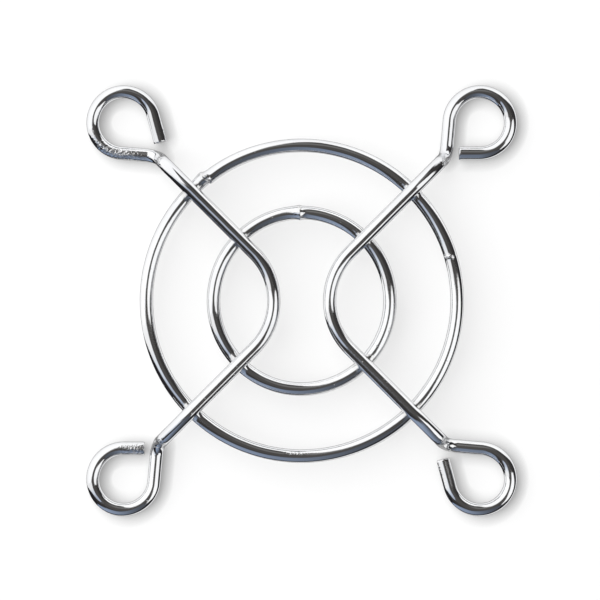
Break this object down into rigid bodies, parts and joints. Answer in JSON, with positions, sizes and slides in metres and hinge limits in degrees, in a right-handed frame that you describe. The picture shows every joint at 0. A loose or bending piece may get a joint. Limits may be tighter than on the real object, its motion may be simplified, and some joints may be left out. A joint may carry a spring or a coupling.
{
  "type": "wire fan guard",
  "caption": "Open wire finger guard for a small square fan: welded rings under V-shaped struts that end in stepped screw eyes.",
  "frame": {"origin": "middle of the screw pattern, on the plane that the four eyes are seated on", "axes": "+Z away from the fan, towards the outside; +X and +Y along the sides of the square screw pattern, with the two struts side by side along X"},
  "size_m": [0.0386, 0.0386, 0.0037],
  "materials": {
    "plated_wire": "bright nickel-chrome plate over steel wire"
  },
  "bodies": {
    "root": {"outer_ring": "plated_wire", "inner_ring": "plated_wire", "left_strut": "plated_wire", "right_strut": "plated_wire"}
  },
  "joints": []
}
